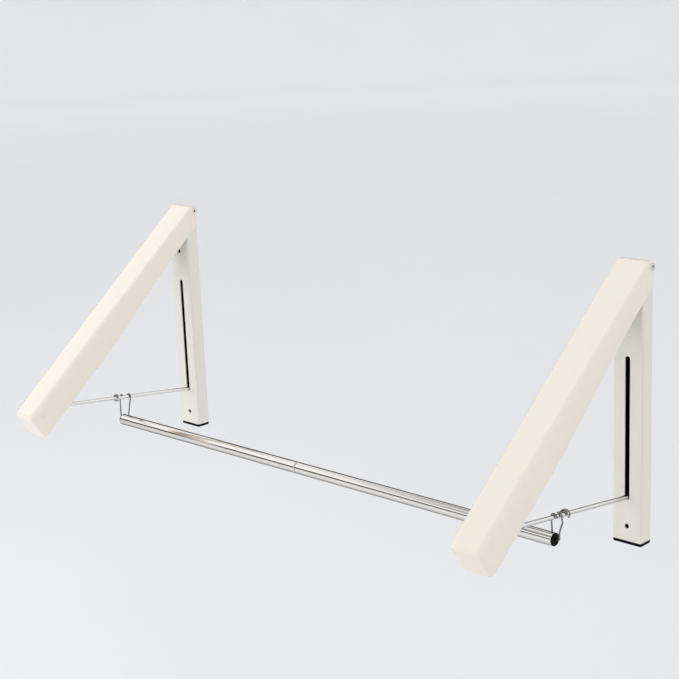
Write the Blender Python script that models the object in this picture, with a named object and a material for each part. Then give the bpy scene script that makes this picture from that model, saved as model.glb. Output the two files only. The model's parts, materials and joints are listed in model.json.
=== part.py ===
"""Wall mounted fold down drying rack: two folding arms, their stays and a hanging pole.

Metres, +Z up. The wall is the plane Y = 0 and the rack stands out of it towards -Y. The
origin is on the wall, midway between the two wall brackets, level with their lower ends.
The rack is modelled open, as it is used.
"""

import math

import bmesh
import bpy
from mathutils import Matrix, Vector

# Wall bracket: a folded sheet channel that is open towards the wall
BRACKET_SPACING = 0.647
BRACKET_WIDTH = 0.0318
BRACKET_DEPTH = 0.0172
BRACKET_TOP = 0.262
SHEET = 0.0012
LIP_WIDTH = 0.005
BEND_RADIUS = 0.0016
SLOT_WIDTH = 0.0054
SLOT_BOTTOM = 0.0450
SLOT_TOP = 0.1867
SCREW_HEIGHTS = (0.0182, 0.2222)
SCREW_HOLE_DIAMETER = 0.0048
CAP_HEIGHT = 0.0028
CAP_SPIGOT_TOP = 0.0080

# Black guide inside the channel
GUIDE_BOTTOM = 0.0090
GUIDE_TOP = 0.2400
GUIDE_WINDOW_WIDTH = 0.0092
GUIDE_WINDOW = (0.0410, 0.2000)

# Arm: (u, v) runs down its front face and in from it, towards the open side
ARM_WIDTH = 0.035
ARM_ANGLE = math.radians(50.8)
ARM_TOP_FRONT = (-0.0090, 0.2775)
ARM_LENGTH = 0.3270
ARM_DEPTH_TOP = 0.0238
ARM_DEPTH = 0.0325
ARM_DEPTH_GROWS = (0.050, 0.220)
ARM_TOP_BACK = (-0.0059, 0.0064)
ARM_HEEL = (0.0092, 0.0249)
ARM_END_LEAN = math.radians(5.0)
ARM_TOP_RADIUS = 0.0030
ARM_END_RADIUS = 0.0070
ARM_FILLET_TOP = 0.0016
ARM_FILLET_END = 0.0055
ARM_RIM_TOP = 0.0026
ARM_RIM_END = 0.0003
ARM_ROWS = 18

# Pivots, as (y, z)
HINGE = (-0.0130, 0.2483)
HINGE_PIN_DIAMETER = 0.0050
RIVET = (-0.0036, 0.2715)
RIVET_SHANK_DIAMETER = 0.0040
RIVET_HEAD_DIAMETER = 0.0066
RIVET_BORE_DIAMETER = 0.0030
RIVET_HEAD_HEIGHT = 0.0007

# Stay: a straight rod from the slide head to the eye that turns on the stay pin
STAY_DIAMETER = 0.0040
STAY_HEAD = (-0.0120, 0.0471)
STAY_TANGENT = (-0.2446, 0.0757)
STAY_EYE_RADIUS = 0.0044
STAY_EYE_TURN = math.radians(296)
STAY_PIN_DIAMETER = 0.0042
STAY_TIP_PAST_HEAD = 0.0012
SLEEVE_DIAMETER = 0.0080
HEAD_DIAMETER = 0.0070
HEAD_WIDTH = 0.0080

# Pole: its axis at the plane of each stay, as (y, z), and how far it reaches past each stay
POLE_AT_STAY = {"left": (-0.1147, 0.0302), "right": (-0.1299, 0.0389)}
POLE_PAST_STAY = {"left": 0.0066, "right": -0.0024}
POLE_DIAMETER = 0.0127
POLE_WALL = 0.0010
POLE_JOINT_X = -0.0200
POLE_SLEEVE_LENGTH = 0.0600
POLE_HOLE_INSET = {"left": 0.0101, "right": 0.0027}
POLE_HOLE_DIAMETER = 0.0028
PLUG_FLANGE = 0.0006
PLUG_LENGTH = 0.0060
PLUG_BORE = 0.0036

# Wire loops and keeper rings on the stays
LOOP_WIRE = 0.0016
LOOP_HOOK_SHIFT = {"left": (0.0048, -0.0056), "right": (-0.0037, 0.0037)}
LOOP_HOOK_END = math.radians(200)
LOOP_KNEE = {"left": 0.0005, "right": 0.0018}
LOOP_KNEE_DROP = 0.0055
LOOP_KNEE_RADIUS = 0.0030
LOOP_REACH = 0.0048
LOOP_LEG_RADIUS = 0.0040
LOOP_FOOT_RADIUS = 0.0018
RING_Y = {"left": -0.1282, "right": -0.1171}
RING_RADIUS = {"left": 0.0038, "right": 0.0045}
RING_TURN = math.radians(38)
RING_WIRE = 0.0014

# Gaps: between pieces that touch, and round a pin in its hole
GAP = 0.0004
PIN_GAP = 0.0003

SIDES = {"left": -1.0, "right": 1.0}


def clear_scene():
    for item in list(bpy.data.objects):
        bpy.data.objects.remove(item, do_unlink=True)


def make_material(name, color, roughness, metallic=0.0):
    material = bpy.data.materials.new(name)
    material.use_nodes = True
    shader = material.node_tree.nodes["Principled BSDF"]
    shader.inputs["Base Color"].default_value = (*color, 1.0)
    shader.inputs["Roughness"].default_value = roughness
    shader.inputs["Metallic"].default_value = metallic
    return material


def make_materials():
    return {
        "arm_paint": make_material("arm_paint", (0.87, 0.82, 0.74), 0.25),
        "bracket_paint": make_material("bracket_paint", (0.72, 0.70, 0.63), 0.4),
        "black_plastic": make_material("black_plastic", (0.012, 0.012, 0.013), 0.5),
        "polished_steel": make_material("polished_steel", (0.72, 0.70, 0.68), 0.15, 1.0),
        "wire_steel": make_material("wire_steel", (0.50, 0.49, 0.48), 0.25, 1.0),
        "white_nylon": make_material("white_nylon", (0.80, 0.80, 0.78), 0.5),
    }


# Mesh helpers

def make_object(name, bm, material, origin=(0.0, 0.0, 0.0), smooth_angle=35.0):
    """Link the bmesh as an object whose origin is at the given point."""
    bmesh.ops.recalc_face_normals(bm, faces=bm.faces)
    bmesh.ops.translate(bm, verts=bm.verts, vec=-Vector(origin))
    mesh = bpy.data.meshes.new(name)
    bm.to_mesh(mesh)
    bm.free()
    mesh.materials.append(material)
    mesh.shade_smooth()
    mesh.set_sharp_from_angle(angle=math.radians(smooth_angle))
    item = bpy.data.objects.new(name, mesh)
    item.location = origin
    bpy.context.scene.collection.objects.link(item)
    return item


def cut(target, cutter):
    """Subtract the cutter, which stays in the file as a wire guide."""
    cutter.hide_render = True
    cutter.display_type = "WIRE"
    modifier = target.modifiers.new("cut", "BOOLEAN")
    modifier.operation = "DIFFERENCE"
    modifier.solver = "EXACT"
    modifier.object = cutter


def make_cutter(name, bm):
    bmesh.ops.recalc_face_normals(bm, faces=bm.faces)
    mesh = bpy.data.meshes.new(name)
    bm.to_mesh(mesh)
    bm.free()
    item = bpy.data.objects.new(name, mesh)
    bpy.context.scene.collection.objects.link(item)
    return item


def frame_along(direction):
    """A rotation whose Z axis is the given direction."""
    return Vector(direction).to_track_quat("Z", "Y").to_matrix().to_4x4()


def add_cylinder(bm, centre, direction, diameter, length, segments=32):
    place = Matrix.Translation(Vector(centre)) @ frame_along(direction)
    bmesh.ops.create_cone(bm, cap_ends=True, segments=segments, radius1=diameter / 2,
                          radius2=diameter / 2, depth=length, matrix=place)


def add_rings(bm, rings, closed=False, caps=True):
    """Skin a list of equally long closed rings of points."""
    loops = [[bm.verts.new(point) for point in ring] for ring in rings]
    count = len(loops[0])
    pairs = list(zip(loops, loops[1:]))
    if closed:
        pairs.append((loops[-1], loops[0]))
    for first, second in pairs:
        for i in range(count):
            j = (i + 1) % count
            bm.faces.new((first[i], first[j], second[j], second[i]))
    if caps and not closed:
        bm.faces.new(loops[0])
        bm.faces.new(loops[-1])


def add_lathe(bm, profile, centre, direction, segments=32):
    """Turn a closed profile of (distance along, radius) about the axis."""
    place = Matrix.Translation(Vector(centre)) @ frame_along(direction)
    rings = []
    for k in range(segments):
        angle = 2 * math.pi * k / segments
        spoke = Vector((math.cos(angle), math.sin(angle), 0.0))
        rings.append([place @ (spoke * radius + Vector((0, 0, along)))
                      for along, radius in profile])
    add_rings(bm, rings, closed=True)


def add_sweep(bm, points, diameter, sides=12, closed=False):
    """Sweep a round section along a path, turning the section as little as possible."""
    points = [Vector(point) for point in points]
    count = len(points)
    tangents = []
    for i in range(count):
        before = points[i - 1] if i or closed else points[0]
        after = points[(i + 1) % count] if i < count - 1 or closed else points[-1]
        tangents.append((after - before).normalized())
    normal = tangents[0].orthogonal().normalized()
    rings = []
    for i in range(count):
        if i:
            normal = tangents[i - 1].rotation_difference(tangents[i]) @ normal
        side = tangents[i].cross(normal).normalized()
        ring = []
        for k in range(sides):
            angle = 2 * math.pi * k / sides
            offset = normal * math.cos(angle) + side * math.sin(angle)
            ring.append(points[i] + offset * diameter / 2)
        rings.append(ring)
    add_rings(bm, rings, closed=closed)


def arc(centre, radius, start, end, steps):
    """Points of an arc in a plane, both ends included; angles in radians."""
    return [(centre[0] + radius * math.cos(start + (end - start) * i / steps),
             centre[1] + radius * math.sin(start + (end - start) * i / steps))
            for i in range(steps + 1)]


def rounded_polygon(corners, steps=5):
    """Round each corner (x, y, radius) of a closed polygon with an arc."""
    points = []
    count = len(corners)
    for i in range(count):
        here = Vector(corners[i][:2])
        radius = corners[i][2]
        to_last = (Vector(corners[i - 1][:2]) - here).normalized()
        to_next = (Vector(corners[(i + 1) % count][:2]) - here).normalized()
        if radius <= 0.0:
            points.append(here)
            continue
        half = to_last.angle(to_next) / 2
        centre = here + (to_last + to_next).normalized() * radius / math.sin(half)
        start = here + to_last * radius / math.tan(half) - centre
        end = here + to_next * radius / math.tan(half) - centre
        turn = start.angle_signed(end)
        for k in range(steps + 1):
            points.append(centre + Matrix.Rotation(-turn * k / steps, 2) @ start)
    return points


def rounded_path(corners, steps=5):
    """Round each inner corner (point, radius) of an open path in space with an arc."""
    points = [corners[0][0]]
    for i in range(1, len(corners) - 1):
        here, radius = corners[i]
        to_last = (corners[i - 1][0] - here).normalized()
        to_next = (corners[i + 1][0] - here).normalized()
        half = to_last.angle(to_next) / 2
        inward = (to_last + to_next).normalized()
        centre = here + inward * radius / math.sin(half)
        start = here + to_last * radius / math.tan(half) - centre
        end = here + to_next * radius / math.tan(half) - centre
        for k in range(steps + 1):
            spoke = start.normalized().slerp(end.normalized(), k / steps)
            points.append(centre + spoke * radius)
    points.append(corners[-1][0])
    return points


def add_upright_prism(bm, outline, bottom, top):
    """Extrude an outline of (x, y) points from one height to another."""
    add_rings(bm, [[(x, y, z) for x, y in outline] for z in (bottom, top)])


def add_plate_cutter(bm, outline, front, back):
    """Extrude an outline of (x, z) points from one depth to another."""
    add_rings(bm, [[(x, y, z) for x, z in outline] for y in (front, back)])


def stadium(x, width, bottom, top, steps=10):
    """A slot outline with round ends."""
    radius = width / 2
    upper = arc((x, top - radius), radius, 0.0, math.pi, steps)
    lower = arc((x, bottom + radius), radius, math.pi, 2 * math.pi, steps)
    return upper + lower


# Wall unit

def channel_outline(x):
    """The bracket's section: front plate, two sides and a lip behind each."""
    half = BRACKET_WIDTH / 2
    inner = half - SHEET
    front = -BRACKET_DEPTH
    lip = half - LIP_WIDTH
    bend = BEND_RADIUS
    fold = BEND_RADIUS - SHEET
    corners = [(x + lip, 0.0, 0.0), (x + half, 0.0, bend / 2), (x + half, front, bend),
               (x - half, front, bend), (x - half, 0.0, bend / 2), (x - lip, 0.0, 0.0),
               (x - lip, -SHEET, 0.0), (x - inner, -SHEET, 0.0),
               (x - inner, front + SHEET, fold), (x + inner, front + SHEET, fold),
               (x + inner, -SHEET, 0.0), (x + lip, -SHEET, 0.0)]
    return rounded_polygon(corners)


def make_bracket(side, x, material):
    bm = bmesh.new()
    add_upright_prism(bm, channel_outline(x), CAP_HEIGHT + GAP, BRACKET_TOP)
    bracket = make_object(side + "_wall_bracket", bm, material)

    cutter = bmesh.new()
    front = -BRACKET_DEPTH - SHEET
    back = -BRACKET_DEPTH + 2 * SHEET
    add_plate_cutter(cutter, stadium(x, SLOT_WIDTH, SLOT_BOTTOM, SLOT_TOP), front, back)
    for height in SCREW_HEIGHTS:
        add_cylinder(cutter, (x, (front + back) / 2, height), (0, 1, 0),
                     SCREW_HOLE_DIAMETER, back - front)
    add_cylinder(cutter, (x, *HINGE), (1, 0, 0), HINGE_PIN_DIAMETER + 2 * PIN_GAP,
                 BRACKET_WIDTH + 2 * SHEET)
    cut(bracket, make_cutter(side + "_bracket_cutter", cutter))


def insert_outline(x):
    """The room inside the channel, less the gap all round."""
    half = BRACKET_WIDTH / 2 - SHEET - GAP
    front = -BRACKET_DEPTH + SHEET + GAP
    back = -SHEET - GAP
    chamfer = BEND_RADIUS - SHEET + GAP
    return rounded_polygon([(x + half, back, chamfer), (x + half, front, chamfer),
                            (x - half, front, chamfer), (x - half, back, chamfer)], 3)


def make_guide(side, x, material):
    bm = bmesh.new()
    add_upright_prism(bm, insert_outline(x), GUIDE_BOTTOM, GUIDE_TOP)
    guide = make_object(side + "_slide_guide", bm, material)

    cutter = bmesh.new()
    front = -BRACKET_DEPTH
    add_plate_cutter(cutter, stadium(x, GUIDE_WINDOW_WIDTH, *GUIDE_WINDOW), front, SHEET)
    for height in SCREW_HEIGHTS:
        add_cylinder(cutter, (x, front / 2, height), (0, 1, 0),
                     SCREW_HOLE_DIAMETER, BRACKET_DEPTH)
    cut(guide, make_cutter(side + "_guide_cutter", cutter))


def make_bottom_cap(side, x, material):
    """A flat foot as wide as the bracket, with a spigot that fills the channel."""
    half = BRACKET_WIDTH / 2
    corner = BEND_RADIUS
    foot = rounded_polygon([(x + half, 0.0, corner), (x + half, -BRACKET_DEPTH, corner),
                            (x - half, -BRACKET_DEPTH, corner), (x - half, 0.0, corner)], 3)
    spigot = insert_outline(x)
    bm = bmesh.new()
    add_rings(bm, [[(*point, 0.0) for point in foot],
                   [(*point, CAP_HEIGHT) for point in foot],
                   [(*point, CAP_HEIGHT) for point in spigot],
                   [(*point, CAP_SPIGOT_TOP) for point in spigot]])
    make_object(side + "_bottom_cap", bm, material)


def make_hinge_pin(side, x, material):
    bm = bmesh.new()
    add_cylinder(bm, (x, *HINGE), (1, 0, 0), HINGE_PIN_DIAMETER, ARM_WIDTH, 24)
    make_object(side + "_hinge_pin", bm, material, origin=(x, *HINGE))


# Arm cover

def arm_depth(u):
    """Depth of the arm at a distance down its front face, growing smoothly."""
    start, end = ARM_DEPTH_GROWS
    t = min(max((u - start) / (end - start), 0.0), 1.0)
    return ARM_DEPTH_TOP + (ARM_DEPTH - ARM_DEPTH_TOP) * t * t * (3 - 2 * t)


def arm_place(u, v):
    """Turn (u, v) on the arm into (y, z)."""
    sine = math.sin(ARM_ANGLE)
    cosine = math.cos(ARM_ANGLE)
    return (ARM_TOP_FRONT[0] - u * sine + v * cosine,
            ARM_TOP_FRONT[1] - u * cosine - v * sine)


def corner_stations(corner, radius, normal_in, normal_out, steps):
    """Stations (point, inward normal) along an arc that rounds a corner."""
    start = math.atan2(normal_in[1], normal_in[0])
    turn = (math.atan2(normal_out[1], normal_out[0]) - start + math.pi) % math.tau - math.pi
    bisector = Vector((math.cos(start + turn / 2), math.sin(start + turn / 2)))
    centre = Vector(corner) + bisector * radius / math.cos(turn / 2)
    stations = []
    for i in range(steps + 1):
        angle = start + turn * i / steps
        normal = Vector((math.cos(angle), math.sin(angle)))
        stations.append((centre - normal * radius, normal))
    return stations


def arm_stations():
    """Follow the arm's outside from top to end: (front point, normal, rim point, fillet).

    Points are (u, v). The front path runs over the top plate, down the front face and
    round onto the end face; the rim path runs down the open side at the same time. At
    the end the rim stays in the plane of the open side and follows the rounded corners.
    """
    top_back = Vector(ARM_TOP_BACK)
    heel = Vector(ARM_HEEL)
    top_normal = Vector((top_back.y, -top_back.x)).normalized()
    front_normal = Vector((0.0, 1.0))
    end_along = Vector((math.sin(ARM_END_LEAN), math.cos(ARM_END_LEAN)))
    end_normal = Vector((-end_along.y, end_along.x))
    end_corner = Vector((ARM_LENGTH, 0.0))

    stations = []
    rim_start = top_back + (heel - top_back).normalized() * ARM_RIM_TOP
    stations.append((top_back, top_normal, rim_start, ARM_FILLET_TOP))
    top_arc = corner_stations((0.0, 0.0), ARM_TOP_RADIUS, top_normal, front_normal, 4)
    for i, (point, normal) in enumerate(top_arc):
        rim = rim_start.lerp(heel, (i + 1) / len(top_arc))
        stations.append((point, normal, rim, ARM_FILLET_TOP))

    top_u = top_arc[-1][0].x
    end_arc = corner_stations(end_corner, ARM_END_RADIUS, front_normal, end_normal, 8)
    last_u = end_arc[0][0].x
    for i in range(1, ARM_ROWS):
        share = i / ARM_ROWS
        u = top_u + (last_u - top_u) * share
        rim_u = u + (heel.x - top_u) * (1 - share) ** 2
        rim = Vector((rim_u, arm_depth(rim_u)))
        fillet = ARM_FILLET_TOP + (ARM_FILLET_END - ARM_FILLET_TOP) * share
        stations.append((Vector((u, 0.0)), front_normal, rim, fillet))

    end_start = end_arc[-1][0]
    end_length = (ARM_DEPTH - end_start.y) / end_along.y - ARM_RIM_END
    end_steps = 6
    end_path = end_arc + [(end_start + end_along * end_length * i / end_steps, end_normal)
                          for i in range(1, end_steps + 1)]
    rim_first = Vector((last_u, ARM_DEPTH))
    rim_last = end_path[-1][0] + end_normal * ARM_FILLET_END + end_along * ARM_RIM_END
    for i, (point, normal) in enumerate(end_path):
        rim = rim_first.lerp(rim_last, i / (len(end_path) - 1))
        stations.append((point, normal, rim, ARM_FILLET_END))
    return stations


def arm_section(x, station, inset):
    """One U-shaped row of the cover, set in from its outside by the inset."""
    front, normal, rim, fillet = station
    half = ARM_WIDTH / 2 - inset
    base = front + normal * inset
    radius = fillet - inset
    row = [(half, rim)]
    for i in range(5):
        angle = math.pi / 2 * i / 4
        across = half - radius + radius * math.cos(angle)
        deep = radius * (1 - math.sin(angle))
        row.append((across, base + normal * deep))
    row += [(-across, point) for across, point in reversed(row)]
    return [(x + across, *arm_place(*point)) for across, point in row]


def make_arm_cover(side, x, material):
    stations = arm_stations()
    bm = bmesh.new()
    skins = []
    for inset in (0.0, SHEET):
        rows = [[bm.verts.new(point) for point in arm_section(x, station, inset)]
                for station in stations]
        for upper, lower in zip(rows, rows[1:]):
            for i in range(len(upper) - 1):
                bm.faces.new((upper[i], upper[i + 1], lower[i + 1], lower[i]))
        skins.append(rows)
    outer, inner = skins
    edges = [([row[0] for row in outer], [row[0] for row in inner]),
             ([row[-1] for row in outer], [row[-1] for row in inner]),
             (outer[0], inner[0]), (outer[-1], inner[-1])]
    for first, second in edges:
        for i in range(len(first) - 1):
            bm.faces.new((first[i], first[i + 1], second[i + 1], second[i]))
    cover = make_object(side + "_arm_cover", bm, material, origin=(x, *HINGE))

    cutter = bmesh.new()
    holes = ((HINGE, HINGE_PIN_DIAMETER), (stay_pivot(), STAY_PIN_DIAMETER),
             (RIVET, RIVET_SHANK_DIAMETER))
    for centre, diameter in holes:
        add_cylinder(cutter, (x, *centre), (1, 0, 0), diameter + 2 * PIN_GAP,
                     ARM_WIDTH + 2 * SHEET, 24)
    cut(cover, make_cutter(side + "_arm_cutter", cutter))


def make_top_rivet(side, x, material):
    """A hollow rivet across the arm, with a flat ring head outside each side."""
    seat = ARM_WIDTH / 2 + PIN_GAP
    end = seat + RIVET_HEAD_HEIGHT
    bore = RIVET_BORE_DIAMETER / 2
    shank = RIVET_SHANK_DIAMETER / 2
    head = RIVET_HEAD_DIAMETER / 2
    rim = RIVET_HEAD_HEIGHT / 3
    half = [(0.0, shank), (seat, shank), (seat, head), (end - rim, head), (end, head - rim),
            (end, bore + rim), (end - rim, bore)]
    profile = half + [(-along, radius) for along, radius in reversed(half[1:])]
    bm = bmesh.new()
    add_lathe(bm, profile, (x, *RIVET), (1, 0, 0), 24)
    make_object(side + "_top_rivet", bm, material, origin=(x, *HINGE))


# Stay

def stay_direction():
    """From the eye's end towards the slide head, in (y, z)."""
    return (Vector(STAY_HEAD) - Vector(STAY_TANGENT)).normalized()


def stay_pivot():
    """The eye's centre, below the point where the rod meets the eye."""
    along = stay_direction()
    down = Vector((along.y, -along.x))
    centre = Vector(STAY_TANGENT) + down * STAY_EYE_RADIUS
    return centre.x, centre.y


def make_stay_rod(side, x, material):
    along = stay_direction()
    centre = stay_pivot()
    start = math.atan2(STAY_TANGENT[1] - centre[1], STAY_TANGENT[0] - centre[0])
    tip = Vector(STAY_HEAD) + along * STAY_TIP_PAST_HEAD
    path = [tip, Vector(STAY_HEAD)] + arc(centre, STAY_EYE_RADIUS, start,
                                          start + STAY_EYE_TURN, 22)
    bm = bmesh.new()
    add_sweep(bm, [(x, *point) for point in path], STAY_DIAMETER)
    make_object(side + "_stay_rod", bm, material, origin=(x, *centre))


def make_slide_head(side, x, material):
    bm = bmesh.new()
    add_cylinder(bm, (x, *STAY_HEAD), (1, 0, 0), HEAD_DIAMETER, HEAD_WIDTH, 24)
    head = make_object(side + "_slide_head", bm, material, origin=(x, *stay_pivot()))
    along = stay_direction()
    bore_end = Vector(STAY_HEAD) + along * (STAY_TIP_PAST_HEAD + PIN_GAP)
    bore_length = HEAD_DIAMETER + STAY_TIP_PAST_HEAD
    middle = bore_end - along * bore_length / 2
    cutter = bmesh.new()
    add_cylinder(cutter, (x, *middle), (0, *along), STAY_DIAMETER + 2 * PIN_GAP, bore_length,
                 24)
    cut(head, make_cutter(side + "_head_cutter", cutter))


def make_stay_pin(side, x, material):
    bm = bmesh.new()
    add_cylinder(bm, (x, *stay_pivot()), (1, 0, 0), STAY_PIN_DIAMETER, ARM_WIDTH, 24)
    make_object(side + "_stay_pin", bm, material, origin=(x, *HINGE))


def make_pin_sleeves(side, x, material):
    """Two spacers that keep the stay's eye in the middle of the arm."""
    start = STAY_DIAMETER / 2 + PIN_GAP
    end = ARM_WIDTH / 2 - SHEET - PIN_GAP
    bore = STAY_PIN_DIAMETER / 2 + PIN_GAP
    outside = SLEEVE_DIAMETER / 2
    profile = [(start, bore), (start, outside), (end, outside), (end, bore)]
    for name, direction in (("_pin_sleeve_right", 1), ("_pin_sleeve_left", -1)):
        bm = bmesh.new()
        add_lathe(bm, profile, (x, *stay_pivot()), (direction, 0, 0), 20)
        make_object(side + name, bm, material, origin=(x, *HINGE))


# Pole

def stay_x(side):
    return SIDES[side] * BRACKET_SPACING / 2


def pole_axis():
    """A point on the pole's axis at the middle, and the axis direction towards the right."""
    left = Vector((stay_x("left"), *POLE_AT_STAY["left"]))
    right = Vector((stay_x("right"), *POLE_AT_STAY["right"]))
    return (left + right) / 2, (right - left).normalized()


def pole_point(x):
    """The point of the pole's axis at a given x."""
    middle, along = pole_axis()
    return middle + along * (x - middle.x) / along.x


def pole_end_x(side):
    return stay_x(side) + SIDES[side] * POLE_PAST_STAY[side]


def make_pole_frame():
    """An empty on the pole's axis, its X along the pole, that carries the pole's pieces."""
    middle, along = pole_axis()
    frame = bpy.data.objects.new("pole_axis", None)
    across = Vector((0, 0, 1)).cross(along).normalized()
    up = along.cross(across)
    frame.matrix_world = Matrix.Translation(middle) @ Matrix(
        (along, across, up)).transposed().to_4x4()
    bpy.context.scene.collection.objects.link(frame)
    return frame


def ride_on_frame(item, frame):
    item.parent = frame
    item.matrix_parent_inverse = Matrix.Identity(4)


def along_pole(x):
    """Distance from the pole's frame to a given x, measured along the pole."""
    middle, along = pole_axis()
    return (x - middle.x) / along.x


def make_hole_cutter(side, name, frame):
    """The hole for the wire loop, from above the tube down to the pole's axis."""
    hole = along_pole(pole_end_x(side)) - SIDES[side] * POLE_HOLE_INSET[side]
    top = POLE_DIAMETER
    bm = bmesh.new()
    add_cylinder(bm, (hole, 0, top / 2), (0, 0, 1), POLE_HOLE_DIAMETER, top, 24)
    cutter = make_cutter(side + name, bm)
    ride_on_frame(cutter, frame)
    return cutter


def make_pole_tube(side, frame, material):
    radius = POLE_DIAMETER / 2
    bore = radius - POLE_WALL
    end = along_pole(pole_end_x(side))
    joint = along_pole(POLE_JOINT_X) + SIDES[side] * GAP / 2
    rim = POLE_WALL / 4
    inward = -SIDES[side]
    profile = [(joint, bore), (joint, radius - rim), (joint - inward * rim, radius),
               (end, radius), (end, bore)]
    bm = bmesh.new()
    add_lathe(bm, profile, (0, 0, 0), (1, 0, 0), 36)
    tube = make_object(side + "_pole_tube", bm, material)
    ride_on_frame(tube, frame)
    cut(tube, make_hole_cutter(side, "_tube_cutter", frame))


def make_pole_sleeve(frame, material):
    """The inner tube that joins the pole's halves."""
    outside = POLE_DIAMETER / 2 - POLE_WALL - PIN_GAP
    bore = outside - POLE_WALL
    middle = along_pole(POLE_JOINT_X)
    half = POLE_SLEEVE_LENGTH / 2
    profile = [(middle - half, bore), (middle - half, outside), (middle + half, outside),
               (middle + half, bore)]
    bm = bmesh.new()
    add_lathe(bm, profile, (0, 0, 0), (1, 0, 0), 32)
    ride_on_frame(make_object("pole_sleeve", bm, material), frame)


def make_pole_plug(side, frame, material):
    """A black plug with a thin flange over the tube's end and a bore for the wire loop."""
    sign = SIDES[side]
    end = along_pole(pole_end_x(side)) + sign * PIN_GAP
    flange = POLE_DIAMETER / 2 - PIN_GAP
    spigot = POLE_DIAMETER / 2 - POLE_WALL - PIN_GAP
    bore = PLUG_BORE / 2
    edge = PLUG_FLANGE / 3
    profile = [(end - sign * PLUG_LENGTH, bore), (end - sign * PLUG_LENGTH, spigot),
               (end, spigot), (end, flange), (end + sign * (PLUG_FLANGE - edge), flange),
               (end + sign * PLUG_FLANGE, flange - edge), (end + sign * PLUG_FLANGE, bore)]
    bm = bmesh.new()
    add_lathe(bm, profile, (0, 0, 0), (1, 0, 0), 32)
    plug = make_object(side + "_pole_plug", bm, material)
    ride_on_frame(plug, frame)
    if POLE_HOLE_INSET[side] < PLUG_LENGTH:
        cut(plug, make_hole_cutter(side, "_plug_cutter", frame))


def stay_height(y):
    """Height of the stay's axis at a distance from the wall."""
    along = stay_direction()
    return STAY_TANGENT[1] + (y - STAY_TANGENT[0]) * along.y / along.x


def stay_hook(side, shift, towards):
    """Points of a hook over the stay, from its tip to where the loop's leg begins."""
    y = pole_point(stay_x(side)).y + shift
    centre = Vector((stay_x(side), y, stay_height(y)))
    radius = STAY_DIAMETER / 2 + PIN_GAP + LOOP_WIRE / 2
    return [centre + Vector((across * towards, 0, up))
            for across, up in arc((0, 0), radius, LOOP_HOOK_END, 0.0, 12)]


def make_pole_loop(side, material):
    """A bent wire: hooked over the stay, down into the hole, out of the plug, up again."""
    sign = SIDES[side]
    base = pole_point(stay_x(side))
    heading = pole_axis()[1]
    end = pole_end_x(side) - stay_x(side)
    clear = Vector((0, 0, POLE_DIAMETER / 2 + LOOP_WIRE))
    inner_foot = base + heading * (end - sign * POLE_HOLE_INSET[side])
    outer_foot = base + heading * (end + sign * (PIN_GAP + PLUG_FLANGE + LOOP_REACH))
    inner_shift, outer_shift = LOOP_HOOK_SHIFT[side]
    inner_hook = stay_hook(side, inner_shift, -sign)
    outer_hook = stay_hook(side, outer_shift, sign)
    drop = LOOP_KNEE_DROP / (outer_hook[-1].z - outer_foot.z - clear.z)
    knee = outer_hook[-1].lerp(outer_foot + clear, drop) + Vector((sign * LOOP_KNEE[side], 0, 0))
    corners = [(inner_hook[-1], 0.0), (inner_foot + clear, LOOP_LEG_RADIUS),
               (inner_foot, LOOP_FOOT_RADIUS), (outer_foot, LOOP_FOOT_RADIUS),
               (outer_foot + clear, LOOP_LEG_RADIUS), (knee, LOOP_KNEE_RADIUS),
               (outer_hook[-1], 0.0)]
    path = inner_hook[:-1] + rounded_path(corners) + outer_hook[-2::-1]
    bm = bmesh.new()
    add_sweep(bm, path, LOOP_WIRE, 8)
    make_object(side + "_pole_loop", bm, material)


def make_keeper_ring(side, material):
    """A small wire ring round the stay that keeps the loop in its place."""
    centre = Vector((stay_x(side), RING_Y[side], stay_height(RING_Y[side])))
    across = Vector((math.cos(RING_TURN), math.sin(RING_TURN), 0))
    up = Vector((0, 0, 1))
    count = 24
    points = []
    for k in range(count):
        angle = 2 * math.pi * k / count
        spoke = across * math.cos(angle) + up * math.sin(angle)
        points.append(centre + spoke * RING_RADIUS[side])
    bm = bmesh.new()
    add_sweep(bm, points, RING_WIRE, 8, closed=True)
    make_object(side + "_keeper_ring", bm, material)


def main():
    clear_scene()
    finish = make_materials()
    frame = make_pole_frame()
    for side in SIDES:
        x = stay_x(side)
        make_bracket(side, x, finish["bracket_paint"])
        make_guide(side, x, finish["black_plastic"])
        make_bottom_cap(side, x, finish["black_plastic"])
        make_hinge_pin(side, x, finish["arm_paint"])
        make_arm_cover(side, x, finish["arm_paint"])
        make_top_rivet(side, x, finish["wire_steel"])
        make_stay_rod(side, x, finish["polished_steel"])
        make_slide_head(side, x, finish["wire_steel"])
        make_stay_pin(side, x, finish["arm_paint"])
        make_pin_sleeves(side, x, finish["white_nylon"])
        make_pole_tube(side, frame, finish["polished_steel"])
        make_pole_plug(side, frame, finish["black_plastic"])
        make_pole_loop(side, finish["wire_steel"])
        make_keeper_ring(side, finish["wire_steel"])
    make_pole_sleeve(frame, finish["polished_steel"])


main()
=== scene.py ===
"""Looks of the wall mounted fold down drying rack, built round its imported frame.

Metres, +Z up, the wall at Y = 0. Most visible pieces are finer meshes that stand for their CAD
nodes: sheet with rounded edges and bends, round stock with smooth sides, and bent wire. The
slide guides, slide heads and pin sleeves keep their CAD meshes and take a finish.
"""

import json
import math

import bmesh
import bpy
from mathutils import Matrix, Vector


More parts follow.
